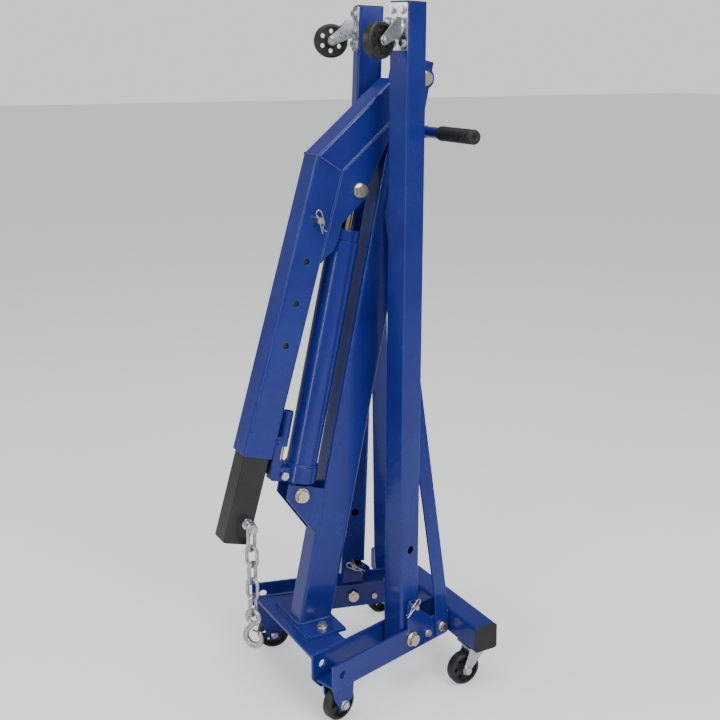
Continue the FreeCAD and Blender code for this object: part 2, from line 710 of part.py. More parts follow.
def leg_lock_pins():
    """Both pins point the same way, so one has its clip outside its leg, the other inside."""
    z = pivot_z + lock_rise
    length = plate_out + leg_side / 2 + 6 + lock_pin_tip
    inside = -leg_side / 2 - 6
    for side, word, head, way in ((1, "left", inside, 1), (-1, "right", plate_out, -1)):
        turn = FreeCAD.Rotation() if way > 0 else FreeCAD.Rotation(V(0, 0, 1), 180)
        at = FreeCAD.Placement(V(head, 0, z), turn)
        clip = spring_clip(V(length - clip_inset, 0, 0), clip_side, clip_lie, lock_pin_r)
        save("%s_lock_pin" % word, side_frame(side)(placed(leg_lock_pin(length), at)))
        save("%s_lock_clip" % word, side_frame(side)(placed(clip, at)))


# ---- boom -----------------------------------------------------------------------------
def boom_section(width, wall, corner, start, along, length):
    tube = box_tube(width, width, wall, corner, length)
    return placed(tube, frame(start, V(1, 0, 0), along))


def boom_solid_section(start, along, length):
    bar = rounded_bar(boom_side, boom_side, length, boom_corner)
    return placed(bar, frame(start, V(1, 0, 0), along))


def mitre_cutter(point, along, other):
    """Big box beyond the mitre plane between two sections that meet at the point."""
    bisector = (along - other).normalize()
    box = Part.makeBox(600, 600, 600, V(-300, -300, 0))
    return placed(box, frame(point, V(1, 0, 0), bisector * -1))


def tail_point(along, under):
    """Point measured from the boom pivot: along the tail to the front, and down across it."""
    return boom_pivot + tail_dir * along + tail_under * under


def boom_parts():
    over = 120.0
    tail_length = boom_tail_length - boom_tail_end
    tail = boom_section(boom_side, boom_wall, boom_corner, elbow + tail_dir * over, tail_dir * -1,
                        tail_length + over)
    nose = boom_section(boom_side, boom_wall, boom_corner, elbow - nose_dir * over, nose_dir,
                        boom_nose_length + over)
    tail = tail.cut(mitre_cutter(elbow, tail_dir * -1, nose_dir))
    nose = nose.cut(mitre_cutter(elbow, nose_dir, tail_dir * -1))
    body = tail.fuse(nose)

    low_edge = boom_side / 2 - boom_pivot_under
    top_edge = -boom_side / 2 - boom_pivot_under
    reach = math.hypot(boom_tail_end, low_edge)
    a = math.atan2(low_edge, boom_tail_end) + math.acos(boom_ear_r / reach)
    ear_join = boom_tail_end + 60.0
    inset = low_edge - boom_corner
    outline = [(boom_ear_r * math.cos(a), boom_ear_r * math.sin(a)), (0.0, -boom_ear_r),
               (ear_join, top_edge), (ear_join, inset), (boom_tail_end + 4, inset),
               (boom_tail_end, low_edge)]
    points = [tail_point(u, w) for u, w in outline]
    for low in (-boom_side / 2, boom_side / 2 - boom_wall):
        ear = slab([(p.y, p.z) for p in points], low, low + boom_wall)
        boss = rod(boom_ear_r, V(low, boom_pivot.y, boom_pivot.z), V(1, 0, 0), boom_wall)
        body = body.fuse(ear.fuse(boss))

    inside = boom_side / 2 - boom_wall
    corner_reach = math.hypot(mast_depth - boom_pivot_inset, boom_pivot_drop + cap_flange)
    clear = rod(corner_reach + 4, V(-inside, boom_pivot.y, boom_pivot.z), V(1, 0, 0), 2 * inside)
    room_foot = mast_foot + mast_up * (mast_length - 290)
    mast_room = Part.makeBox(2 * inside, 300, 400, V(-inside, -mast_depth / 2 - 4, 0))
    mast_room = placed(mast_room, frame(room_foot, V(1, 0, 0), mast_up))
    body = body.cut(clear).cut(mast_room)
    body = body.cut(rod(boom_pivot_r + fit, V(-60, boom_pivot.y, boom_pivot.z), V(1, 0, 0), 120))
    for i in range(hole_count):
        p = elbow + nose_dir * (hole_first + i * hole_pitch)
        body = body.cut(rod(boom_pin_r + fit, V(-60, p.y, p.z), V(1, 0, 0), 120))
    save("boom_outer", body.removeSplitter())

    solid = boom_solid_section(elbow + tail_dir * 20, tail_dir * -1, tail_length + 20)
    solid = solid.fuse(boom_solid_section(elbow - nose_dir * 20, nose_dir, boom_nose_length + 20))
    gusset_plates(solid)


def gusset_plates(boom_solid):
    """Two plates under the boom's bend that hold the ram's upper pin."""
    sink = 8.0
    half = boom_side / 2
    under_tail = tail_under * (half - sink)
    behind_nose = nose_back * (half - sink)
    a = ram_top
    lower_edge = [(159, -43.8), (140, -28.4), (111, -24.3), (80, -24.9), (13.7, 17.5), (-4, 21.7),
                  (-15, 16.5)]
    outline = [elbow - tail_dir * gusset_tail + under_tail, elbow + (under_tail + behind_nose) * 0.55,
               elbow + nose_dir * gusset_nose + behind_nose, elbow + nose_dir * gusset_nose + nose_back * half]
    outline += [a + nose_dir * u + nose_back * v for u, v in lower_edge]
    outline += [elbow - tail_dir * gusset_tail + tail_under * half]
    solids = []
    for low in (-half, half - boom_wall):
        plate = slab([(p.y, p.z) for p in outline], low, low + boom_wall)
        plate = plate.fuse(rod(22.0, V(low, a.y, a.z), V(1, 0, 0), boom_wall))
        plate = plate.cut(boom_solid)
        plate = plate.cut(rod(ram_pin_r, V(-60, a.y, a.z), V(1, 0, 0), 120))
        solids.append(plate.removeSplitter())
    save("boom_gussets", *solids)


def ram_top_bolt():
    """Upper ram bolt with spacers; its middle is left out so the ram can be posed freely."""
    solids = []
    half = boom_side / 2
    stop = rod_eye_half + 1.5
    whole = bolt(ram_pin_r, V(half, ram_top.y, ram_top.z), V(-1, 0, 0), 2 * half)
    middle = rod(ram_pin_r * 2, V(-stop, ram_top.y, ram_top.z), V(1, 0, 0), 2 * stop)
    for piece in whole:
        solids += piece.cut(middle).Solids
    for side in (1, -1):
        start = V(side * stop, ram_top.y, ram_top.z)
        solids.append(ring(ram_pin_r + 4, ram_pin_r, start, V(side, 0, 0), half - boom_wall - stop))
    save("ram_top_bolt", *solids)


def extension_parts():
    length = extension_in + extension_out
    start = boom_end - nose_dir * extension_in
    tube = boom_section(extension_side, extension_wall, extension_corner, start, nose_dir, length)
    pin_at = elbow + nose_dir * hole_first
    notch = Part.makeBox(200, 2 * (boom_pin_r + 1.5), 300, V(-100, -(boom_pin_r + 1.5), 0))
    notch = placed(notch, frame(pin_at, V(1, 0, 0), nose_dir * -1))
    round_end = rod(boom_pin_r + 1.5, V(-100, pin_at.y, pin_at.z), V(1, 0, 0), 200)
    tube = tube.cut(notch).cut(round_end)
    tube = tube.cut(rod(hook_bolt_r, V(-60, hook_bolt.y, hook_bolt.z), V(1, 0, 0), 120))
    plug = rounded_bar(extension_side - 2 * extension_wall, extension_side - 2 * extension_wall, 3.0, 2.0)
    plug = placed(plug, frame(extension_end - nose_dir * 3, V(1, 0, 0), nose_dir))
    save("boom_extension", tube.fuse(plug).removeSplitter())

    outer = chain_x + 12.0
    grip = outer + extension_side / 2
    solids = bolt(hook_bolt_r, V(outer, hook_bolt.y, hook_bolt.z), V(-1, 0, 0), grip)
    washer = ring(12.0, hook_bolt_r, V(extension_side / 2, hook_bolt.y, hook_bolt.z), V(1, 0, 0), 3.0)
    save("hook_bolt", *(solids + [washer]))

    pin_length = boom_side + 2 * 17
    start = V(-boom_side / 2 - 14, pin_at.y, pin_at.z)
    pin = rod(boom_pin_r, start, V(1, 0, 0), pin_length)
    head = rod(boom_pin_r + 3, V(-boom_side / 2 - 6, pin_at.y, pin_at.z), V(1, 0, 0), 6)
    clip_at = V(boom_side / 2 + 12.0, pin_at.y, pin_at.z)
    clip_up = V(0, -0.26, 0.97).normalize()
    hole = rod(clip_hole_r, clip_at - clip_up * 20, clip_up, 40)
    save("boom_lock_pin", pin.fuse(head).cut(hole))
    save("boom_lock_clip", spring_clip(clip_at, V(0, 0.97, 0.26).normalize(), clip_up, boom_pin_r))


# ---- chain and hook -------------------------------------------------------------------
def chain_link(length, centre, across):
    """Welded oval link in the plane of the Z axis and the given direction."""
    wire = link_wire / 2
    bend = (link_width - link_wire) / 2
    half = (length - link_width) / 2
    up = V(0, 0, 1)
    top = centre + up * half
    low = centre - up * half
    path = Part.Wire([
        Part.makeLine(low + across * bend, top + across * bend),
        Part.Arc(top + across * bend, top + up * bend, top - across * bend).toShape(),
        Part.makeLine(top - across * bend, low - across * bend),
        Part.Arc(low - across * bend, low - up * bend, low + across * bend).toShape()])
    profile = Part.Wire(Part.makeCircle(wire, low + across * bend, up))
    return path.makePipeShell([profile], True, False)


turn = math.radians(chain_turn)
across_first = V(-math.sin(turn), math.cos(turn), 0)
across_second = V(math.cos(turn), math.sin(turn), 0)
chain_line = V(chain_x, hook_bolt.y, 0)
link_length = link_pitch + 2 * link_wire
first_top = hook_bolt.z + hook_bolt_r + gap + link_wire
first_low = first_top - first_link_length


def chain_parts():
    """Five welded links, each resting on the one above, then the hook and its latch."""
    middle = chain_line + V(0, 0, (first_top + first_low) / 2)
    save("chain_link_1", chain_link(first_link_length, middle, across_first))
    low = first_low
    for i in range(2, 6):
        top = low + 2 * link_wire + gap
        low = top - link_length
        across = across_second if i % 2 == 0 else across_first
        save("chain_link_%d" % i, chain_link(link_length, chain_line + V(0, 0, (top + low) / 2), across))
    return low


def hook_parts(low):
    """Forged hook with a round eye, hanging on the last link, and its spring latch."""
    wire = hook_wire / 2
    eye_r = hook_eye_r + wire
    eye_z = low + link_wire + gap + wire - eye_r
    centre = chain_line + V(0, 0, eye_z)
    across = across_second
    normal = across_first
    eye = Part.makeTorus(eye_r, wire, centre, normal)
    bowl_r = hook_throat_r + wire
    bowl = centre + V(0, 0, -eye_r - wire - bowl_r - 6)
    up = V(0, 0, 1)
    tip_angle = math.radians(35)
    tip = bowl + across * (bowl_r * math.cos(tip_angle)) + up * (bowl_r * math.sin(tip_angle))
    neck = centre - up * eye_r
    shoulder = bowl - across * bowl_r
    mid_neck = bowl + (across * -math.sin(math.radians(35)) + up * math.cos(math.radians(35))) * bowl_r
    sweep = Part.Arc(shoulder, bowl - up * bowl_r, tip).toShape()
    back = Part.Arc(neck, mid_neck + across * -1.0, shoulder).toShape()
    start_dir = back.tangentAt(back.FirstParameter)
    path = Part.Wire([back, sweep])
    profile = Part.Wire(Part.makeCircle(wire, neck, start_dir))
    body = path.makePipeShell([profile], True, False)
    body = body.fuse(eye).fuse(Part.makeSphere(wire, tip)).fuse(Part.makeSphere(wire, neck))
    save("lifting_hook", body.removeSplitter())

    pin = mid_neck + across * 3.0
    blade_to = tip + up * 1.0
    along = (blade_to - pin).normalize()
    start = pin + along * (wire + 1.2)
    span = (blade_to - start).Length - wire - 0.6
    blade = Part.makeBox(6.0, 1.6, span, V(-3.0, -0.8, 0))
    side = normal
    blade = placed(blade, frame(start, side, along))
    save("hook_latch", blade)
    return bowl, start


# ---- hydraulic ram --------------------------------------------------------------------
def on_ram(along, ahead=0.0, x=0.0):
    return ram_low + ram_dir * along + ram_front * ahead + V(x, 0, 0)


def ram_box(x_half, front_a, front_b, low, high):
    """Block in the ram's own frame, between two distances ahead of and along its axis."""
    box = Part.makeBox(2 * x_half, front_b - front_a, high - low, V(-x_half, -front_b, low))
    return placed(box, frame(ram_low, V(1, 0, 0), ram_dir))


def ram_parts():
    base = rod(ram_tube_r + 4, on_ram(ram_block_low), ram_dir, ram_block_high - ram_block_low)
    rims = [e for e in base.Edges if abs(e.Length - 2 * math.pi * (ram_tube_r + 4)) < 0.5]
    base = base.makeFillet(3.0, rims)
    base = base.fuse(ram_box(16, 20, pump_offset + 16, ram_block_low, ram_block_high - 8))
    base = base.fuse(rod(12.0, on_ram(ram_block_high - 10, pump_offset), ram_dir, 16))
    lug = ram_box(ram_lug_half, -16, 16, 0, ram_block_low + 2)
    lug = lug.fuse(rod(16.0, ram_low - V(ram_lug_half, 0, 0), V(1, 0, 0), 2 * ram_lug_half))
    base = base.fuse(lug)
    fulcrum = on_ram(pump_pin_rise, pump_offset + lever_arm)
    for x in (-16, 11):
        ear = ram_box(2.5, pump_offset + 6, pump_offset + lever_arm + 7, ram_block_low + 8, pump_pin_rise)
        ear.translate(V(x + 2.5, 0, 0))
        boss = rod(7.0, fulcrum + V(x, 0, 0), V(1, 0, 0), 5)
        base = base.fuse(ear).fuse(boss)
    base = base.cut(rod(pump_r + fit, on_ram(ram_block_low + 6, pump_offset), ram_dir, 60))
    base = base.cut(rod(ram_pin_r + fit, ram_low - V(60, 0, 0), V(1, 0, 0), 120))
    base = base.cut(rod(3.0, fulcrum - V(60, 0, 0), V(1, 0, 0), 120))
    valve_at = on_ram(ram_block_low + 14, ram_tube_r + 11)
    base = base.cut(rod(5.0 + fit, valve_at + V(12, 0, 0), V(1, 0, 0), 60))
    bore = rod(ram_tube_r - ram_tube_wall - 1, on_ram(ram_block_high - 6), ram_dir, 20)
    base = base.cut(bore)
    pin = rod(3.0, fulcrum - V(19, 0, 0), V(1, 0, 0), 38)
    save("ram_base_block", base.removeSplitter(), pin)

    save("ram_tube", ring(ram_tube_r, ram_tube_r - ram_tube_wall, on_ram(ram_block_high), ram_dir,
                          ram_tube_high - ram_block_high))
    gland = rod(ram_tube_r - 1.5, on_ram(ram_tube_high), ram_dir, ram_gland_high - ram_tube_high)
    rims = [e for e in gland.Edges if abs(e.Length - 2 * math.pi * (ram_tube_r - 1.5)) < 0.5]
    gland = gland.makeFillet(2.5, rims)
    skirt = rod(ram_tube_r - ram_tube_wall, on_ram(ram_tube_high - 18), ram_dir, 18)
    gland = gland.fuse(skirt).cut(rod(rod_r + fit, on_ram(ram_tube_high - 30), ram_dir, 90))
    save("ram_gland_nut", gland.removeSplitter())

    outer = pressure_bore_r + pressure_wall
    save("pressure_cylinder", ring(outer, pressure_bore_r, on_ram(ram_block_high - 6), ram_dir,
                                   ram_tube_high - 18 - ram_block_high + 6))
    piston_low = ram_block_high + 6
    body = rod(rod_r, on_ram(piston_low + piston_length), ram_dir,
               ram_length - rod_eye_r - piston_low - piston_length + 4)
    eye = rod(rod_eye_r, ram_top - V(rod_eye_half, 0, 0), V(1, 0, 0), 2 * rod_eye_half)
    body = body.fuse(eye).cut(rod(ram_pin_r + 1.0, ram_top - V(60, 0, 0), V(1, 0, 0), 120))
    save("piston_rod", body.removeSplitter())
    piston = rod(piston_r, on_ram(piston_low), ram_dir, piston_length)
    seal_groove = ring(piston_r + 1, piston_r - 2, on_ram(piston_low + 9), ram_dir, 6)
    save("piston", piston.cut(seal_groove))

    plunger = rod(pump_r, on_ram(ram_block_low + 24, pump_offset), ram_dir,
                  pump_pin_rise + 5 - ram_block_low - 24)
    save("pump_plunger", plunger)

    socket_low = pump_pin_rise + 10
    outer = socket_bore_r + socket_wall
    tube = rod(outer, on_ram(socket_low, pump_offset), ram_dir, socket_length)
    for x in (-10.5, 7.5):
        cheek = ram_box(1.5, pump_offset - 9, pump_offset + lever_arm + 7, pump_pin_rise - 8, socket_low + 4)
        cheek.translate(V(x + 1.5, 0, 0))
        tube = tube.fuse(cheek)
    tube = tube.cut(rod(socket_bore_r, on_ram(socket_low + 6, pump_offset), ram_dir, socket_length))
    tube = tube.cut(rod(3.0 + fit, fulcrum - V(60, 0, 0), V(1, 0, 0), 120))
    save("handle_socket", tube.removeSplitter())

    knob = rod(9.0, valve_at + V(17.5, 0, 0), V(1, 0, 0), 8)
    stem = rod(5.0, valve_at + V(12.5, 0, 0), V(1, 0, 0), 8)
    slot = Part.makeBox(5, 30, 2.5, valve_at + V(22.5, -15, -1.25))
    save("release_valve", knob.fuse(stem).cut(slot).removeSplitter())
    return fulcrum, valve_at


# ---- build everything -----------------------------------------------------------------
os.makedirs("parts", exist_ok=True)
rear_beam()
side_plates(1, "left_side_plates")
side_plates(-1, "right_side_plates")
wheel_brackets()
front_cross_member()
mast = mast_parts()
ram_brackets(mast)
brace(1, "left_brace")
brace(-1, "right_brace")
push_handle()
end_caps()
pivot_bolts()
base_bolts()
front_wheels()
rear_casters()
leg(1, "left", left_lean)
leg(-1, "right", right_lean)
leg_lock_pins()
boom_parts()
ram_top_bolt()
extension_parts()
last_link_low = chain_parts()
hook_bowl, latch_pin = hook_parts(last_link_low)
fulcrum_point, valve_point = ram_parts()
print("%d nodes" % len(saved))
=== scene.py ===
import bpy
import json
import math
import random
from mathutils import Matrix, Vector


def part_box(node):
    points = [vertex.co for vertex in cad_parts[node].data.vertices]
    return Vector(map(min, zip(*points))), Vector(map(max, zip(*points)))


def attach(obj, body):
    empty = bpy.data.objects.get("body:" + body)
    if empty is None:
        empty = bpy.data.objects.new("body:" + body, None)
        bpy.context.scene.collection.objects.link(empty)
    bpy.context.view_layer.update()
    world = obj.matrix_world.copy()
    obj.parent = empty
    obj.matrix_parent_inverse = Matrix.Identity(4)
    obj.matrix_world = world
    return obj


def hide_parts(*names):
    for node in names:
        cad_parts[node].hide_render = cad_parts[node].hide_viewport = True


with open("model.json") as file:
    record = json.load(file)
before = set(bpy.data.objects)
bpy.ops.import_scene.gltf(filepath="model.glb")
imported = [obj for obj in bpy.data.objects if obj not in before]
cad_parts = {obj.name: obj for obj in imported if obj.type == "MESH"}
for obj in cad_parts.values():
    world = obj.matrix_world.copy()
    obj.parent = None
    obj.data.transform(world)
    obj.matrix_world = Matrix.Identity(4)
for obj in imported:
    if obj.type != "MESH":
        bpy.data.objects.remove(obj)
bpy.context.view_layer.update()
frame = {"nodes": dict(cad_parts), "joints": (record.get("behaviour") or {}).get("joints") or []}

# ---- camera ---------------------------------------------------------------------------
# A viewer standing off the crane's left front corner, eyes a little under its top.
# Long enough lens to show the whole stored crane without bending its tall legs.
camera_spot = Vector((2.1836, -1.0931, 1.4393))
camera_turn = 59.335
camera_down = 10.70
camera = bpy.data.cameras.new("camera")
camera.lens = 55.86
camera.sensor_width = 36.0
camera.shift_x = -0.0729
camera.shift_y = -0.1321
camera_object = bpy.data.objects.new("camera", camera)
camera_object.location = camera_spot
camera_object.rotation_euler = (math.radians(90 - camera_down), math.radians(-0.2), math.radians(camera_turn))
bpy.context.scene.collection.objects.link(camera_object)
bpy.context.scene.camera = camera_object

# ---- studio floor and light -----------------------------------------------------------
# A white paper floor and backdrop. The eye sees them white, but the enamel mirrors a dimmer
# room, as in a studio with black flags beside the camera and the soft boxes between them.
floor_mesh = bpy.data.meshes.new("floor")
floor_half = 30.0
floor_mesh.from_pydata([(-floor_half, -floor_half, 0), (floor_half, -floor_half, 0),
                        (floor_half, floor_half, 0), (-floor_half, floor_half, 0)], [], [(0, 1, 2, 3)])
floor = bpy.data.objects.new("floor", floor_mesh)
bpy.context.scene.collection.objects.link(floor)
paper = bpy.data.materials.new("studio_paper")
paper.use_nodes = True
paper_shader = paper.node_tree.nodes["Principled BSDF"]
paper_shader.inputs["Base Color"].default_value = (0.9, 0.9, 0.9, 1)
paper_shader.inputs["Roughness"].default_value = 0.9
paper_shader.inputs["Specular IOR Level"].default_value = 0.0
paper_shader.inputs["Emission Color"].default_value = (1, 1, 1, 1)
seen_by = paper.node_tree.nodes.new("ShaderNodeLightPath")
glow = paper.node_tree.nodes.new("ShaderNodeMath")
glow.operation = "MULTIPLY"
glow.inputs[1].default_value = 0.5
paper.node_tree.links.new(seen_by.outputs["Is Camera Ray"], glow.inputs[0])
paper.node_tree.links.new(glow.outputs[0], paper_shader.inputs["Emission Strength"])
floor_mesh.materials.append(paper)

surround = bpy.data.worlds.new("surround")
surround.use_nodes = True
room = surround.node_tree.nodes["Background"]
room.inputs["Color"].default_value = (0.90, 0.94, 1.0, 1)
room.inputs["Strength"].default_value = 0.30
backdrop = surround.node_tree.nodes.new("ShaderNodeBackground")
backdrop.inputs["Color"].default_value = (1.0, 1.0, 1.0, 1)
backdrop.inputs["Strength"].default_value = 1.0
seen_by = surround.node_tree.nodes.new("ShaderNodeLightPath")
either = surround.node_tree.nodes.new("ShaderNodeMixShader")
surround.node_tree.links.new(seen_by.outputs["Is Camera Ray"], either.inputs[0])
surround.node_tree.links.new(room.outputs[0], either.inputs[1])
surround.node_tree.links.new(backdrop.outputs[0], either.inputs[2])
surround.node_tree.links.new(either.outputs[0], surround.node_tree.nodes["World Output"].inputs["Surface"])
bpy.context.scene.world = surround


def soft_box(name, spot, aim, width, height, watts):
    lamp = bpy.data.lights.new(name, "AREA")
    lamp.shape = "RECTANGLE"
    lamp.size = width
    lamp.size_y = height
    lamp.energy = watts
    holder = bpy.data.objects.new(name, lamp)
    holder.location = spot
    holder.rotation_euler = (Vector(aim) - Vector(spot)).to_track_quat("-Z", "Y").to_euler()
    bpy.context.scene.collection.objects.link(holder)


soft_box("side_soft_box", (3.4, 0.6, 2.7), (0, 0, 0.8), 1.8, 1.8, 70)
soft_box("edge_strip", (1.75, -3.1, 1.0), (0, 0, 0.8), 0.35, 3.2, 26)
soft_box("front_soft_box", (-1.4, -3.2, 2.4), (0, 0, 0.8), 1.0, 1.6, 28)
soft_box("top_soft_box", (0.4, -0.4, 4.2), (0, 0, 0.6), 2.4, 2.4, 70)

# ---- blue enamel ----------------------------------------------------------------------
# Every steel tube, plate and bracket is sprayed with royal blue gloss enamel after welding.
# The coat is a little uneven and has fine orange peel; its edges are painted paler, partly where the paint
# wears thin and partly as a painted light-blue highlight along the rounded corners.


def new_group(name, inputs, outputs):
    """Empty shader node group with float inputs and named outputs of the given kinds."""
    group = bpy.data.node_groups.new(name, "ShaderNodeTree")
    for label, value in inputs:
        socket = group.interface.new_socket(label, in_out="INPUT", socket_type="NodeSocketFloat")
        socket.default_value = value
    for label, kind in outputs:
        group.interface.new_socket(label, in_out="OUTPUT", socket_type="NodeSocket" + kind)
    return group, group.nodes.new("NodeGroupInput"), group.nodes.new("NodeGroupOutput")


def wire(tree, source, target):
    tree.links.new(source, target)


def math_node(tree, operation, a, b):
    node = tree.nodes.new("ShaderNodeMath")
    node.operation = operation
    for slot_number, value in enumerate((a, b)):
        if isinstance(value, (int, float)):
            node.inputs[slot_number].default_value = value
        else:
            wire(tree, value, node.inputs[slot_number])
    return node.outputs[0]


# Edge mask where the rounded normal turns away from the flat one: the materials paint these edges paler,
# partly as wear and partly as a painted highlight where the rounded corners catch the light.
edge_wear_and_highlight, taken, given = new_group(
    "edge_wear_and_highlight", [("Radius", 0.002), ("Amount", 6.0), ("Breakup", 40.0)],
    [("Mask", "Float"), ("Normal", "Vector")])
rounded = edge_wear_and_highlight.nodes.new("ShaderNodeBevel")
rounded.samples = 6
plain_normal = edge_wear_and_highlight.nodes.new("ShaderNodeNewGeometry")
facing = edge_wear_and_highlight.nodes.new("ShaderNodeVectorMath")
facing.operation = "DOT_PRODUCT"
place = edge_wear_and_highlight.nodes.new("ShaderNodeTexCoord")
patches = edge_wear_and_highlight.nodes.new("ShaderNodeTexNoise")
patches.inputs["Detail"].default_value = 3.0
wire(edge_wear_and_highlight, taken.outputs["Radius"], rounded.inputs["Radius"])
wire(edge_wear_and_highlight, rounded.outputs["Normal"], facing.inputs[0])
wire(edge_wear_and_highlight, plain_normal.outputs["Normal"], facing.inputs[1])
wire(edge_wear_and_highlight, place.outputs["Object"], patches.inputs["Vector"])
wire(edge_wear_and_highlight, taken.outputs["Breakup"], patches.inputs["Scale"])
turned = math_node(edge_wear_and_highlight, "SUBTRACT", 1.0, facing.outputs["Value"])
stronger = math_node(edge_wear_and_highlight, "MULTIPLY", turned, taken.outputs["Amount"])
broken = math_node(edge_wear_and_highlight, "MULTIPLY", stronger, patches.outputs["Fac"])
capped = math_node(edge_wear_and_highlight, "MINIMUM", broken, 1.0)
wire(edge_wear_and_highlight, capped, given.inputs["Mask"])
wire(edge_wear_and_highlight, rounded.outputs["Normal"], given.inputs["Normal"])

surface_grain, taken, given = new_group(
    "surface_grain", [("Fine", 900.0), ("Broad", 9.0)], [("Height", "Float"), ("Drift", "Float")])
place = surface_grain.nodes.new("ShaderNodeTexCoord")
fine = surface_grain.nodes.new("ShaderNodeTexNoise")
fine.inputs["Detail"].default_value = 2.0
broad = surface_grain.nodes.new("ShaderNodeTexNoise")
broad.inputs["Detail"].default_value = 4.0
broad.inputs["Roughness"].default_value = 0.6
for texture, scale in ((fine, "Fine"), (broad, "Broad")):
    wire(surface_grain, place.outputs["Object"], texture.inputs["Vector"])
    wire(surface_grain, taken.outputs[scale], texture.inputs["Scale"])
wire(surface_grain, fine.outputs["Fac"], given.inputs["Height"])
wire(surface_grain, broad.outputs["Fac"], given.inputs["Drift"])


def place_group(tree, group, **values):
    node = tree.nodes.new("ShaderNodeGroup")
    node.node_tree = group
    for label, value in values.items():
        node.inputs[label].default_value = value
    return node


def blend_colour(tree, mask, a, b):
    """Colour that goes from a to b with the mask; a and b are colours or sockets."""
    node = tree.nodes.new("ShaderNodeMix")
    node.data_type = "RGBA"
    wire(tree, mask, node.inputs["Factor"])
    for label, value in (("A", a), ("B", b)):
        socket = [s for s in node.inputs if s.name == label and s.type == "RGBA"][0]
        if isinstance(value, tuple):
            socket.default_value = (*value, 1.0)
        else:
            wire(tree, value, socket)
    return [s for s in node.outputs if s.type == "RGBA"][0]


def spread(tree, value, low, high, low_out, high_out):
    node = tree.nodes.new("ShaderNodeMapRange")
    wire(tree, value, node.inputs["Value"])
    for label, number in (("From Min", low), ("From Max", high), ("To Min", low_out), ("To Max", high_out)):
        node.inputs[label].default_value = number
    return node.outputs["Result"]


def finish_material(name, dark, light, worn_and_highlight_colour, metallic, rough, fine=900.0, broad=9.0, depth=0.0002,
                    edge=0.002, edge_amount=6.0, coat=0.0, specular=0.5):
    """Surface with drifting colour and gloss, fine relief, and paler edges: worn paint plus a painted edge
    highlight.
    """
    material = bpy.data.materials.new(name)
    material.use_nodes = True
    tree = material.node_tree
    shader = tree.nodes["Principled BSDF"]
    grain = place_group(tree, surface_grain, Fine=fine, Broad=broad)
    wear_and_highlight = place_group(tree, edge_wear_and_highlight, Radius=edge, Amount=edge_amount)
    body_colour = blend_colour(tree, spread(tree, grain.outputs["Drift"], 0.3, 0.7, 0.0, 1.0), dark, light)
    # Painted edge highlight: edges blend to a paler colour, partly wear and partly standing in for the light
    # on rounded corners.
    colour = blend_colour(tree, wear_and_highlight.outputs["Mask"], body_colour, worn_and_highlight_colour)
    wire(tree, colour, shader.inputs["Base Color"])
    gloss = spread(tree, grain.outputs["Drift"], 0.3, 0.7, rough[0], rough[1])
    wire(tree, gloss, shader.inputs["Roughness"])
    relief = tree.nodes.new("ShaderNodeBump")
    relief.inputs["Strength"].default_value = 1.0
    relief.inputs["Distance"].default_value = depth
    wire(tree, grain.outputs["Height"], relief.inputs["Height"])
    wire(tree, wear_and_highlight.outputs["Normal"], relief.inputs["Normal"])
    wire(tree, relief.outputs["Normal"], shader.inputs["Normal"])
    shader.inputs["Metallic"].default_value = metallic
    shader.inputs["Specular IOR Level"].default_value = specular
    shader.inputs["Coat Weight"].default_value = coat
    shader.inputs["Coat Roughness"].default_value = 0.06
    return material


def dress(material, *names):
    for name in names:
        mesh = frame["nodes"][name].data
        mesh.materials.clear()
        mesh.materials.append(material)


# Edge colour (0.05, 0.13, 0.50): worn paint plus a painted edge highlight.
blue_enamel = finish_material("royal_blue_enamel", (0.010, 0.018, 0.200), (0.015, 0.030, 0.270),
                              (0.05, 0.13, 0.50), 0.0, (0.20, 0.32), fine=420.0, broad=6.0,
                              depth=0.00012, edge=0.0028, edge_amount=5.0, coat=0.3, specular=0.35)
dress(blue_enamel, "rear_crossbeam", "left_side_plates", "right_side_plates", "front_wheel_brackets",
      "front_crossbeam", "mast_foot_plate", "mast_tube", "ram_bracket_plates", "left_brace", "right_brace",
      "push_handle_bar", "left_leg", "right_leg", "boom_outer", "boom_gussets", "ram_base_block",
      "ram_tube", "ram_gland_nut", "handle_socket")

# ---- weld beads -----------------------------------------------------------------------
# The frame and boom are put together with arc welds, laid by hand in overlapping ripples
# and painted over, so each bead is a rough blue rope that catches the light.
# Edge colour (0.06, 0.14, 0.50): wear plus a painted highlight on the ripple edges.
weld_enamel = finish_material("weld_enamel", (0.010, 0.018, 0.190), (0.018, 0.036, 0.300),
                              (0.06, 0.14, 0.50), 0.0, (0.14, 0.24), fine=700.0, broad=60.0, depth=0.0002,
                              edge=0.0008, edge_amount=3.0, coat=0.4, specular=0.4)
weld_hand = random.Random(7)


def smooth_piece(name, body, material, verts, faces):
    """Smooth shaded mesh piece that rides on a body and takes one material slot."""
    mesh = bpy.data.meshes.new(name)
    mesh.from_pydata(verts, [], faces)
    mesh.polygons.foreach_set("use_smooth", [True] * len(mesh.polygons))
    mesh.materials.append(material)
    piece = bpy.data.objects.new(name, mesh)
    bpy.context.scene.collection.objects.link(piece)
    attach(piece, body)
    return piece


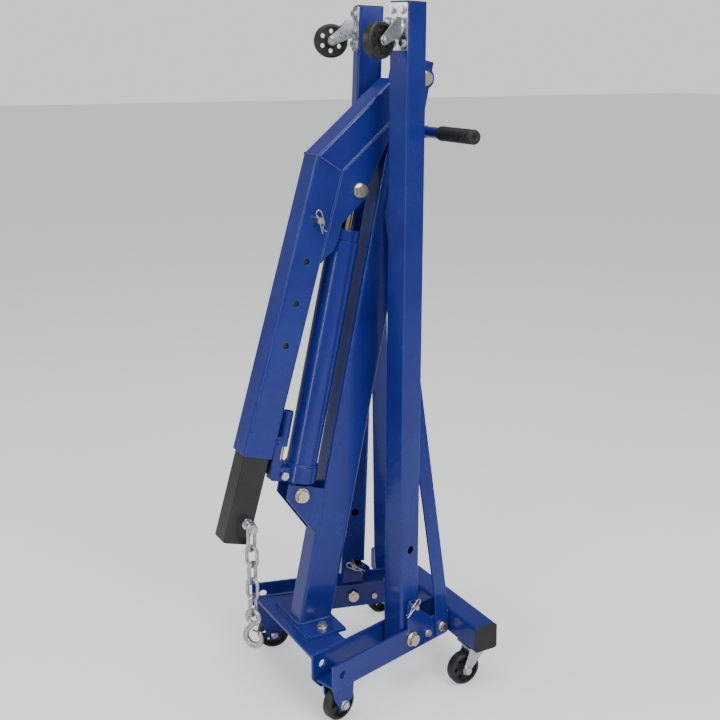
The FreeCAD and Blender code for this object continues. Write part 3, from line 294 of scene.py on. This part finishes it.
def weld(name, body, points, radius, closed=False):
    """Rippled bead along straight runs between the points."""
    if closed:
        points = list(points) + [points[0]]
    pitch = radius * 1.1
    rings = []
    for a, b in zip(points, points[1:]):
        a, b = Vector(a), Vector(b)
        run = (b - a).length
        along = (b - a).normalized()
        side = along.cross(Vector((0.31, 0.52, 0.79))).normalized()
        up = along.cross(side)
        count = max(2, int(run / (pitch / 4)))
        for i in range(count + 1):
            s = run * i / count
            ripple = 0.80 + 0.28 * abs(math.sin(math.pi * s / pitch))
            ripple *= 1 + weld_hand.uniform(-0.04, 0.04)
            rings.append((a + along * s, side, up, radius * ripple))
    around = 9  # sides of the bead
    verts, faces = [], []
    for centre, side, up, r in rings:
        for k in range(around):
            angle = 2 * math.pi * k / around
            verts.append(centre + side * (r * math.cos(angle)) + up * (r * math.sin(angle)))
    for i in range(len(rings) - 1):
        for k in range(around):
            n = (k + 1) % around
            faces.append((i * around + k, i * around + n, (i + 1) * around + n, (i + 1) * around + k))
    faces.append(tuple(range(around - 1, -1, -1)))
    last = (len(rings) - 1) * around
    faces.append(tuple(last + k for k in range(around)))
    return smooth_piece(name, body, weld_enamel, verts, faces)


foot_low, foot_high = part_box("mast_foot_plate")
mast_low, mast_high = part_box("mast_tube")
mast_half = mast_high.x
mast_lean = math.radians(12.1)
mast_depth = 0.080 / math.cos(mast_lean)
foot_middle = (foot_low.y + foot_high.y) / 2
foot_top = foot_high.z
mast_ring = [(x * mast_half, foot_middle + y * mast_depth / 2, foot_top)
             for x, y in ((-0.8, -1), (0.8, -1), (1, -0.85), (1, 0.85), (0.8, 1), (-0.8, 1), (-1, 0.85),
                          (-1, -0.85))]
weld("mast_foot_weld", "frame", mast_ring, 0.004, closed=True)
cross_low, cross_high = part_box("front_crossbeam")
splay = math.radians(15.3)
for side, word in ((1, "left"), (-1, "right")):
    front_half = cross_high.x
    rear_half = front_half - (cross_high.y - cross_low.y) * math.tan(splay)
    weld("%s_crossbeam_weld" % word, "frame",
         [(side * front_half, cross_low.y + 0.003, cross_high.z),
          (side * rear_half, cross_high.y, cross_high.z),
          (side * rear_half, cross_high.y, cross_low.z)], 0.003)
foot_weld_inset = 0.01
weld("foot_plate_weld", "frame",
     [(foot_low.x + foot_weld_inset, foot_low.y, foot_low.z),
      (foot_high.x - foot_weld_inset, foot_low.y, foot_low.z)], 0.0028)
beam_low, beam_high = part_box("rear_crossbeam")
plate_offset = 0.0365  # leg's centre line to each side plate
joint_of = {j["name"]: j for j in frame["joints"]}
for side, word in ((1, "left"), (-1, "right")):
    hinge = Vector(joint_of["%s_leg_fold" % word]["pos_m"])
    for label, across in (("outer", plate_offset), ("inner", -plate_offset)):
        back = (beam_low.y - hinge.y - across * math.sin(splay)) / math.cos(splay)
        x = side * (abs(hinge.x) + across * math.cos(splay) - back * math.sin(splay))
        weld("%s_%s_plate_weld" % (word, label), "frame",
             [(x, beam_low.y, beam_low.z + 0.004), (x, beam_low.y, beam_high.z - 0.008),
              (x - side * math.copysign(0.005, across), beam_low.y, beam_high.z - 0.006)], 0.0032)

# ---- boom welds -----------------------------------------------------------------------
# The boom is two lengths of square tube cut at a mitre and welded all round, with the two
# gusset plates welded under the bend.
boom_low, boom_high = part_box("boom_outer")
boom_half = boom_high.x
boom_pivot = Vector(joint_of["boom_lift"]["pos_m"])
elbow_from_pivot = Vector((0, -0.236, -0.179))
elbow = boom_pivot + elbow_from_pivot
nose = Vector(joint_of["boom_extension_slide"]["axis"])
nose_back = Vector((0, -nose.z, nose.y))
tail_down = math.radians(40.5)
tail = Vector((0, -math.cos(tail_down), -math.sin(tail_down)))
tail_under = Vector((0, -tail.z, tail.y))
mitre = (nose_back + tail_under).normalized()
mitre_reach = boom_half / nose_back.dot(mitre)
flat_share = 0.86  # of a tube's half side, up to where its corner rounds off
elbow_ring = []
for x, m in ((1, flat_share), (1, -flat_share), (flat_share, -1), (-flat_share, -1), (-1, -flat_share),
             (-1, flat_share), (-flat_share, 1), (flat_share, 1)):
    elbow_ring.append(elbow + Vector((x * boom_half, 0, 0)) + mitre * (m * mitre_reach))
weld("boom_mitre_weld", "boom", elbow_ring, 0.0026, closed=True)
gusset_up_tail = 0.194
gusset_down_nose = 0.208
weld_sink = 0.001
for side, word in ((1, "left"), (-1, "right")):
    skin = Vector((side * (boom_half - weld_sink), 0, 0))
    inner_corner = elbow + mitre * mitre_reach
    weld("%s_gusset_weld" % word, "boom",
         [elbow - tail * gusset_up_tail + tail_under * boom_half + skin, inner_corner + skin,
          elbow + nose * gusset_down_nose + nose_back * boom_half + skin], 0.0024)
bracket_low, bracket_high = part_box("ram_bracket_plates")
bracket_inset = 0.003
bracket_weld_low = bracket_low.z + 0.004
bracket_weld_high = bracket_low.z + 0.102


def mast_front(z):
    """Y of the mast's front face at a height; the mast leans back as it rises."""
    return foot_middle - mast_depth / 2 + (z - foot_top) * math.tan(mast_lean)


for side, word in ((1, "left"), (-1, "right")):
    x = side * (mast_half - bracket_inset)
    weld("%s_bracket_weld" % word, "frame",
         [(x, mast_front(bracket_weld_low), bracket_weld_low),
          (x, mast_front(bracket_weld_high), bracket_weld_high)], 0.003)
handle_low, handle_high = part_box("push_handle_bar")
handle_y = (handle_low.y + handle_high.y) / 2
handle_z = (handle_low.z + handle_high.z) / 2
bar_radius = 0.0125
arc_points = 7
arc_half = 100  # degrees each way from the bar's front
for side, word in ((1, "left"), (-1, "right")):
    weld_arc = []
    for i in range(arc_points):
        angle = math.radians(-arc_half + 2 * arc_half * i / (arc_points - 1))
        weld_arc.append((side * (mast_half + weld_sink), handle_y - bar_radius * math.cos(angle),
                         handle_z + bar_radius * math.sin(angle)))
    weld("%s_handle_weld" % word, "frame", weld_arc, 0.002)

# ---- ram ------------------------------------------------------------------------------
# A hand pumped long ram: blue tube screwed into a cast base, gland nut on top, and a ground
# and plated rod that shows a warm yellow tint between the gland and the boom.
ram_foot = Vector(joint_of["ram_tilt"]["pos_m"])
ram_up = Vector(joint_of["ram_stroke"]["axis"])
ram_front = Vector((0, -ram_up.z, ram_up.y))
tube_foot_rise = 0.067
tube_weld_radius = 0.0355


def ring_points(centre, axis_a, axis_b, radius, count):
    return [centre + axis_a * (radius * math.cos(2 * math.pi * i / count))
            + axis_b * (radius * math.sin(2 * math.pi * i / count)) for i in range(count)]


weld("ram_foot_weld", "ram",
     ring_points(ram_foot + ram_up * tube_foot_rise, Vector((1, 0, 0)), ram_front, tube_weld_radius, 36),
     0.0026, closed=True)
# The paler edge colours of the rod and the machined steel are partly wear and partly a painted edge highlight.
plated_rod = finish_material("plated_rod", (0.62, 0.50, 0.28), (0.80, 0.68, 0.42), (0.85, 0.80, 0.65), 1.0,
                             (0.12, 0.22), fine=1500.0, broad=25.0, depth=0.00003, edge=0.001, edge_amount=2.0)
dress(plated_rod, "piston_rod", "pump_plunger")
machined = finish_material("machined_steel", (0.45, 0.45, 0.46), (0.6, 0.6, 0.62), (0.8, 0.8, 0.8), 1.0,
                           (0.25, 0.4), fine=1200.0, broad=20.0, depth=0.00005)
dress(machined, "pressure_cylinder", "piston")

# ---- bolts and lock pins --------------------------------------------------------------
# Hexagon bolts, washers, nuts and loose pins, all zinc plated and yellow passivated: pale
# brass colour that shifts from straw to pink and green over each head.
yellow_zinc = bpy.data.materials.new("yellow_zinc_plate")
yellow_zinc.use_nodes = True
tree = yellow_zinc.node_tree
shader = tree.nodes["Principled BSDF"]
grain = place_group(tree, surface_grain, Fine=1400.0, Broad=85.0)
wear_and_highlight = place_group(tree, edge_wear_and_highlight, Radius=0.0005, Amount=6.0)
tints = tree.nodes.new("ShaderNodeValToRGB")
stops = [(0.30, (0.60, 0.52, 0.34)), (0.45, (0.80, 0.73, 0.52)), (0.56, (0.80, 0.66, 0.56)),
         (0.68, (0.70, 0.74, 0.58)), (0.80, (0.86, 0.82, 0.68))]
tints.color_ramp.elements[0].position = stops[0][0]
tints.color_ramp.elements[0].color = (*stops[0][1], 1)
tints.color_ramp.elements[1].position = stops[-1][0]
tints.color_ramp.elements[1].color = (*stops[-1][1], 1)
for position, colour in stops[1:-1]:
    tints.color_ramp.elements.new(position).color = (*colour, 1)
wire(tree, grain.outputs["Drift"], tints.inputs["Fac"])
# Paler rims (0.92, 0.88, 0.76): worn plating plus a painted edge highlight.
wire(tree, blend_colour(tree, wear_and_highlight.outputs["Mask"], tints.outputs["Color"], (0.92, 0.88, 0.76)),
     shader.inputs["Base Color"])
wire(tree, spread(tree, grain.outputs["Height"], 0.3, 0.7, 0.22, 0.36), shader.inputs["Roughness"])
relief = tree.nodes.new("ShaderNodeBump")
relief.inputs["Distance"].default_value = 0.00008
wire(tree, grain.outputs["Height"], relief.inputs["Height"])
wire(tree, wear_and_highlight.outputs["Normal"], relief.inputs["Normal"])
wire(tree, relief.outputs["Normal"], shader.inputs["Normal"])
shader.inputs["Metallic"].default_value = 1.0
dress(yellow_zinc, "pivot_bolts", "base_bolts", "ram_top_bolt", "boom_lock_pin", "left_lock_pin",
      "right_lock_pin")

# ---- bright zinc fittings -------------------------------------------------------------
# Caster plates, pressed forks, axle bolts, the hook bolt, chain and hook are bright zinc
# plated steel, brushed smooth by handling, with duller patches in the hollows.
# Near-white edge colour: wear plus a painted edge highlight.
bright_zinc = finish_material("bright_zinc_plate", (0.52, 0.54, 0.57), (0.74, 0.75, 0.78), (0.95, 0.95, 0.96),
                              1.0, (0.20, 0.38), fine=1100.0, broad=45.0, depth=0.00012, edge=0.0012,
                              edge_amount=5.0)
dress(bright_zinc, "rear_caster_plates", "left_rear_fork", "right_rear_fork", "left_leg_fork",
      "right_leg_fork", "left_leg_caster_plate", "right_leg_caster_plate", "front_axle_bolts", "hook_bolt",
      "hook_latch", "release_valve")
# Pale edge colour: wear plus a painted edge highlight.
chain_zinc = finish_material("chain_zinc_plate", (0.42, 0.43, 0.45), (0.68, 0.69, 0.71), (0.9, 0.9, 0.9), 1.0,
                             (0.26, 0.42), fine=700.0, broad=120.0, depth=0.0003, edge=0.001, edge_amount=3.0)
dress(chain_zinc, "chain_link_1", "chain_link_2", "chain_link_3", "chain_link_4", "chain_link_5",
      "lifting_hook")

# ---- wheels ---------------------------------------------------------------------------
# Solid moulded wheels, three inches across, black and slightly satin, with six round holes
# in the web; the treads pick up grey floor dust.
# Grey edge colour (0.10): floor dust plus a painted edge highlight.
wheel_black = finish_material("moulded_wheel", (0.012, 0.012, 0.013), (0.028, 0.028, 0.030),
                              (0.10, 0.10, 0.10), 0.0, (0.30, 0.48), fine=800.0, broad=50.0, depth=0.0003,
                              edge=0.0015, edge_amount=4.0)
dress(wheel_black, "left_front_wheel", "right_front_wheel", "left_rear_wheel", "right_rear_wheel",
      "left_leg_wheel", "right_leg_wheel")

# ---- tube plugs -----------------------------------------------------------------------
# Black moulded plugs knocked into the open tube ends, with a fine matt spark finish.
# Paler edge colour: wear plus a painted edge highlight.
plug_plastic = finish_material("plug_plastic", (0.010, 0.010, 0.011), (0.022, 0.022, 0.023),
                               (0.07, 0.07, 0.07), 0.0, (0.42, 0.58), fine=1600.0, broad=30.0, depth=0.0003,
                               edge=0.002, edge_amount=3.0)
dress(plug_plastic, "end_caps", "left_leg_cap", "right_leg_cap")

# ---- boom extension -------------------------------------------------------------------
# Square tube sprayed black so that it shows how far it is out; sliding has polished it.
# Paler edge colour: polish from sliding plus a painted edge highlight.
extension_black = finish_material("extension_black", (0.010, 0.010, 0.010), (0.022, 0.022, 0.021),
                                  (0.12, 0.12, 0.11), 0.0, (0.30, 0.44), fine=500.0, broad=10.0,
                                  depth=0.00015, edge=0.0022, edge_amount=4.0, coat=0.2)
dress(extension_black, "boom_extension")

# ---- handle grips ---------------------------------------------------------------------
# Slip-on black rubber grips with raised rings for the fingers, a thicker collar towards
# the mast and a rounded end with a small vent hole.
# Paler edge colour: wear plus a painted edge highlight.
grip_rubber = finish_material("grip_rubber", (0.010, 0.010, 0.010), (0.024, 0.024, 0.024), (0.06, 0.06, 0.06),
                              0.0, (0.45, 0.62), fine=1300.0, broad=35.0, depth=0.0004, edge=0.001,
                              edge_amount=3.0)
grip_low, grip_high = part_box("handle_grips")
grip_radius = (grip_high.z - grip_low.z) / 2
grip_length = 0.132
rib_count = 11
outline = [(0.0, bar_radius), (0.0, grip_radius * 0.96), (0.003, grip_radius), (0.010, grip_radius),
           (0.012, grip_radius * 0.90)]
rib_pitch = (grip_length - 0.034) / rib_count
for rib in range(rib_count):
    start = 0.014 + rib * rib_pitch
    for share, height in ((0.10, 0.90), (0.25, 0.965), (0.50, 0.985), (0.75, 0.965), (0.90, 0.90)):
        outline.append((start + rib_pitch * share, grip_radius * height))
outline += [(grip_length - 0.018, grip_radius * 0.90), (grip_length - 0.015, grip_radius * 0.97),
            (grip_length - 0.004, grip_radius * 0.97), (grip_length - 0.001, grip_radius * 0.88),
            (grip_length, grip_radius * 0.74), (grip_length, 0.0032), (grip_length - 0.005, 0.003),
            (grip_length - 0.005, 0.0)]
around = 48
for side, word in ((1, "left"), (-1, "right")):
    verts, faces = [], []
    inner_end = grip_high.x - grip_length
    for along, radius in outline:
        for k in range(around):
            angle = 2 * math.pi * k / around
            verts.append((side * (inner_end + along), handle_y + radius * math.cos(angle),
                          handle_z + radius * math.sin(angle)))
    for i in range(len(outline) - 1):
        for k in range(around):
            n = (k + 1) % around
            quad = (i * around + k, i * around + n, (i + 1) * around + n, (i + 1) * around + k)
            faces.append(quad if side > 0 else quad[::-1])
    grip = smooth_piece("%s_handle_grip" % word, "frame", grip_rubber, verts, faces)
    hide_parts("handle_grips")

# ---- spring clips ---------------------------------------------------------------------
# Bent spring wire: a round loop beside the pin, one straight leg through the pin's cross
# hole, and one leg that bows round the pin, nips the straight leg and flares out.


def wire_piece(name, body, material, runs, radius, radii=None, order=4):
    """Piece of bent round bar: a smooth curve through the points with a round section."""
    curve = bpy.data.curves.new(name, "CURVE")
    curve.dimensions = "3D"
    curve.bevel_depth = radius
    curve.bevel_resolution = 5
    curve.resolution_u = 10
    curve.use_fill_caps = True
    spline = curve.splines.new("NURBS")
    spline.points.add(len(runs) - 1)
    for i, point in enumerate(runs):
        spline.points[i].co = (*point, 1)
        spline.points[i].radius = radii[i] if radii else 1.0
    spline.order_u = order
    spline.use_endpoint_u = True
    piece = bpy.data.objects.new(name, curve)
    bpy.context.scene.collection.objects.link(piece)
    curve.materials.append(material)
    bpy.context.view_layer.update()
    mesh = bpy.data.meshes.new_from_object(piece.evaluated_get(bpy.context.evaluated_depsgraph_get()))
    mesh.polygons.foreach_set("use_smooth", [True] * len(mesh.polygons))
    solid = bpy.data.objects.new(name, mesh)
    bpy.data.objects.remove(piece)
    solid.name = name
    bpy.context.scene.collection.objects.link(solid)
    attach(solid, body)
    return solid


clip_wire = 0.0012
for name, joint, pin_radius, bow_way in (("boom_lock_clip", "boom_clip_pull", 0.007, 1),
                                         ("left_lock_clip", "left_clip_pull", 0.0055, -1),
                                         ("right_lock_clip", "right_clip_pull", 0.0055, -1)):
    low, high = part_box(name)
    loop_way = Vector(joint_of[joint]["axis"])
    pin_way = {"boom": Vector((1, 0, 0)), "left": Vector((math.cos(splay), math.sin(splay), 0)),
               "right": Vector((math.cos(splay), -math.sin(splay), 0))}[name.split("_")[0]]
    bow = pin_way.cross(loop_way).normalized()
    if bow.y * bow_way < 0:
        bow = -bow
    clear = pin_radius + clip_wire
    middle = (low + high) / 2
    pin_low, pin_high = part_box(name.replace("clip", "pin"))
    pin_middle = (pin_low + pin_high) / 2
    pin_centre = pin_middle + pin_way * ((middle - pin_middle).dot(pin_way))
    steps = [(-0.030, 0), (-0.015, 0), (0.0, 0), (clear, 0), (clear + 0.006, -0.004),
             (clear + 0.013, -0.001), (clear + 0.015, 0.006), (clear + 0.008, 0.011), (0.004, clear + 0.001),
             (-0.005, clear + 0.003), (-0.012, clear), (-0.017, 0.0035), (-0.020, 0.0028), (-0.025, 0.006),
             (-0.029, 0.010)]
    clip = wire_piece("%s_wire" % name, name, bright_zinc,
                      [pin_centre + loop_way * u + bow * v for u, v in steps], clip_wire)
    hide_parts(name)

# ---- hook -----------------------------------------------------------------------------
# Drop-forged hook: round eye, a shank that swells into a thick bowl and tapers to the tip,
# with a bent sheet latch that springs across the throat.
hook_low, hook_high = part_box("lifting_hook")
hook_ring_radius = 0.015
hook_bar = 0.0055
bowl_radius = 0.0205
chain_foot = Vector(joint_of["hook_swing"]["pos_m"])
hook_turn = Vector(joint_of["hook_swing"]["axis"])
throat_way = hook_turn.cross(Vector((0, 0, 1))).normalized()
if throat_way.x < 0:
    throat_way = -throat_way
eye_centre = Vector((chain_foot.x, chain_foot.y, hook_high.z - hook_ring_radius - hook_bar))
bowl_centre = Vector((chain_foot.x, chain_foot.y, hook_low.z + bowl_radius + hook_bar))
neck_rise = (eye_centre.z - bowl_centre.z - hook_ring_radius) / bowl_radius
hook_shape = [(0.0, neck_rise, 0.95), (-0.12, neck_rise * 0.86, 1.0), (-0.62, neck_rise * 0.58, 1.05),
              (-1.02, 0.30, 1.15), (-1.0, -0.35, 1.25), (-0.62, -0.86, 1.32), (0.0, -1.02, 1.35),
              (0.62, -0.86, 1.25), (0.98, -0.35, 1.05), (0.96, 0.25, 0.85), (0.80, 0.68, 0.60),
              (0.76, 0.76, 0.35)]
hook_body = wire_piece("hook_body", "lifting_hook", chain_zinc,
                       [bowl_centre + throat_way * (u * bowl_radius) + Vector((0, 0, w * bowl_radius))
                        for u, w, r in hook_shape], hook_bar, [r for u, w, r in hook_shape])
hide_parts("lifting_hook")
ring_verts, ring_faces = [], []
ring_steps, bar_steps = 40, 14
for i in range(ring_steps):
    a = 2 * math.pi * i / ring_steps
    out_way = throat_way * math.cos(a) + Vector((0, 0, math.sin(a)))
    for k in range(bar_steps):
        b = 2 * math.pi * k / bar_steps
        ring_verts.append(eye_centre + out_way * (hook_ring_radius + hook_bar * math.cos(b))
                          + throat_way.cross(Vector((0, 0, 1))) * (hook_bar * 0.9 * math.sin(b)))
        ring_faces.append((i * bar_steps + k, ((i + 1) % ring_steps) * bar_steps + k,
                           ((i + 1) % ring_steps) * bar_steps + (k + 1) % bar_steps,
                           i * bar_steps + (k + 1) % bar_steps))
hook_eye = smooth_piece("hook_eye", "lifting_hook", chain_zinc, ring_verts, ring_faces)
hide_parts("lifting_hook")
